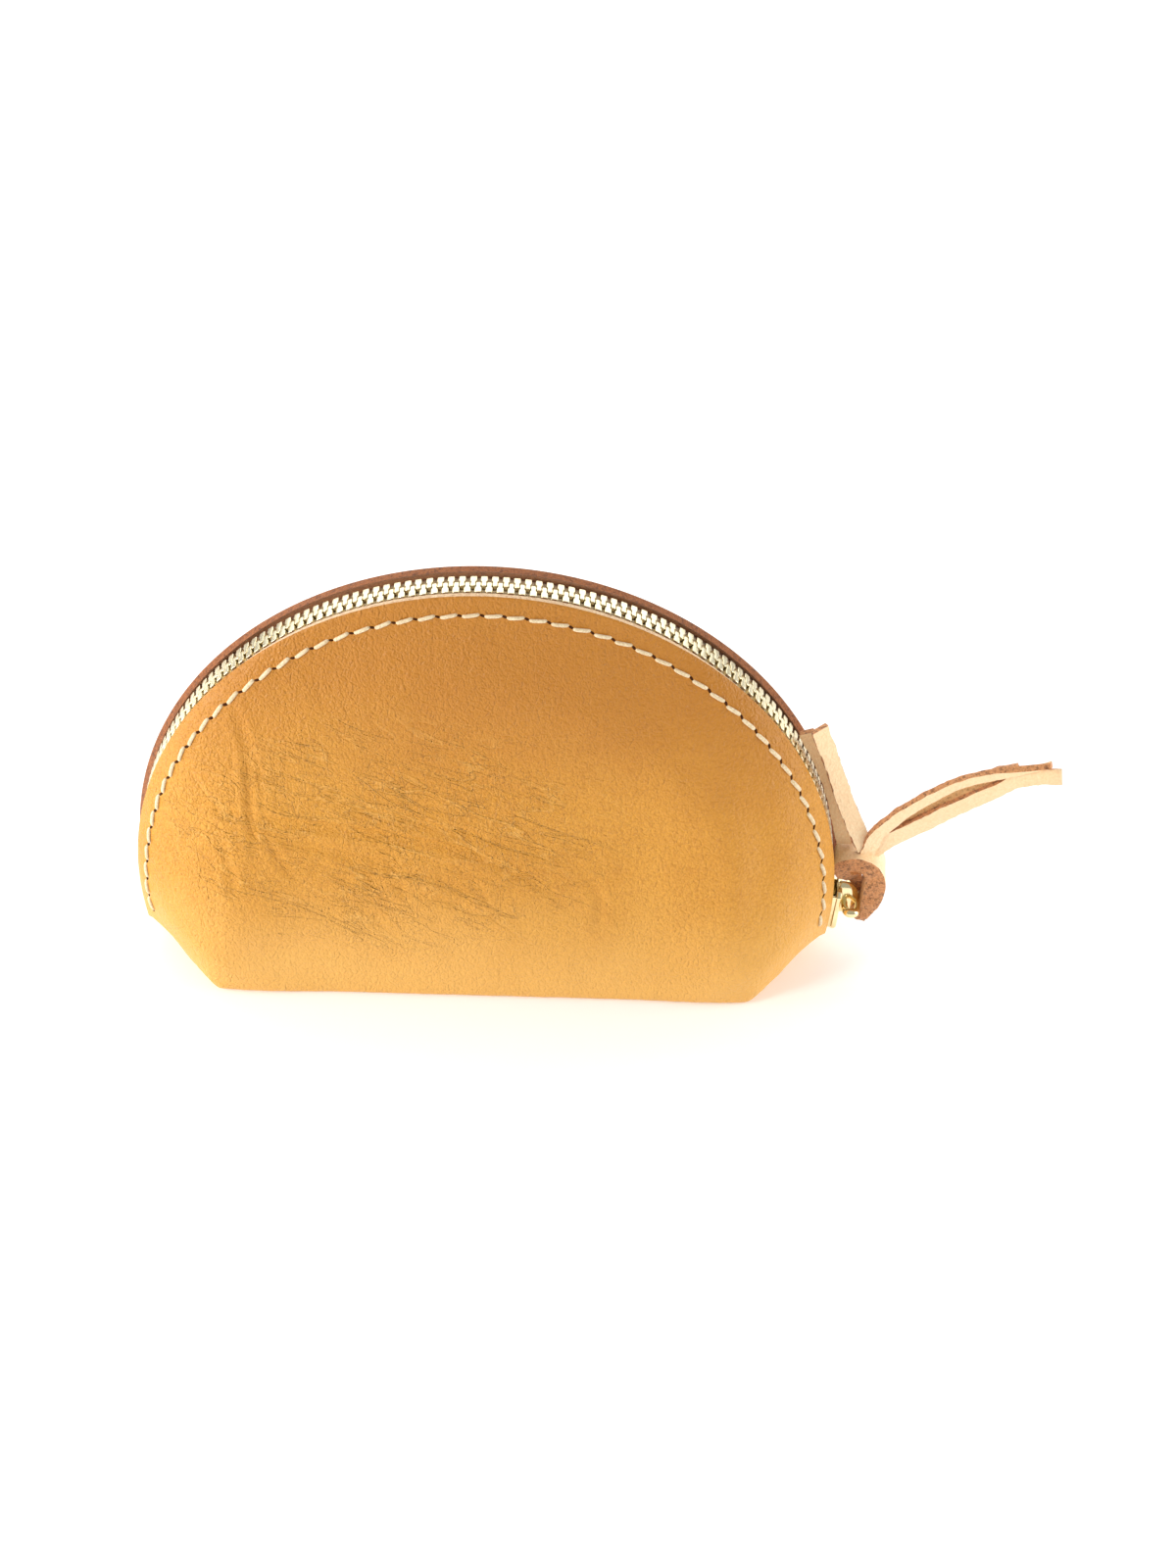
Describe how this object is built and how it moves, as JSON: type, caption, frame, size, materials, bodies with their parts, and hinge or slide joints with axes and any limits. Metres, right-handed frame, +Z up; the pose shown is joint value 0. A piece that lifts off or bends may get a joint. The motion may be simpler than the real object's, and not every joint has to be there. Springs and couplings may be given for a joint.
{
  "type": "zippered pouch",
  "caption": "Half-moon leather pouch with a flat base, a metal zip round its curved top and a slit leather strap through the slider's bail.",
  "frame": {"origin": "centre of the base's underside, on the surface that the pouch stands on", "axes": "+X along the length towards the end where the closed slider parks, +Y to the back panel, +Z up"},
  "size_m": [0.2184, 0.046, 0.1084],
  "materials": {
    "body_leather": "natural vegetable-tanned grain, lightly waxed",
    "strap_leather": "pale natural vegetable-tanned grain with rough flesh side",
    "tape_cloth": "herringbone zip tape",
    "waxed_thread": "waxed linen thread",
    "zip_metal": "bright pale polished"
  },
  "bodies": {
    "back": {"base_panel": "body_leather", "back_panel": "body_leather", "back_tape": "tape_cloth", "back_tape_bead": "tape_cloth", "back_teeth": "zip_metal", "back_top_stop": "zip_metal", "bottom_stop": "zip_metal", "back_needle_stitches": "waxed_thread", "back_bobbin_stitches": "waxed_thread"},
    "front": {"front_panel": "body_leather", "front_tape": "tape_cloth", "front_tape_bead": "tape_cloth", "front_teeth": "zip_metal", "front_top_stop": "zip_metal", "front_needle_stitches": "waxed_thread", "front_bobbin_stitches": "waxed_thread"},
    "slider": {"slider_body": "zip_metal", "slider_bridge": "zip_metal"},
    "bail": {"pull_bail": "zip_metal"},
    "strap": {"pull_strap": "strap_leather"}
  },
  "joints": [
    {"name": "slider_travel", "type": "hinge", "parent": "back", "child": "slider", "pos_m": [0, 0, 0.0254], "axis": [0, -1, 0], "range_deg": [0, 170], "deforming": ["back_teeth", "front_teeth"]},
    {"name": "mouth_open", "type": "hinge", "parent": "back", "child": "front", "pos_m": [0, -0.023, 0], "axis": [1, 0, 0], "range_deg": [0, 18], "deforming": ["front_tape", "front_tape_bead", "front_bobbin_stitches"]},
    {"name": "bail_swing", "type": "hinge", "parent": "slider", "child": "bail", "pos_m": [0.08501, 0, 0.01496], "axis": [0, 1, 0], "range_deg": [0, 35]},
    {"name": "strap_swing", "type": "hinge", "parent": "bail", "child": "strap", "pos_m": [0.09062, 0, 0.01427], "axis": [0, 1, 0], "range_deg": [0, 30]}
  ],
  "couplings": [
    {"joint": "mouth_open", "follows": "slider_travel", "ratio": 0.10587}
  ]
}
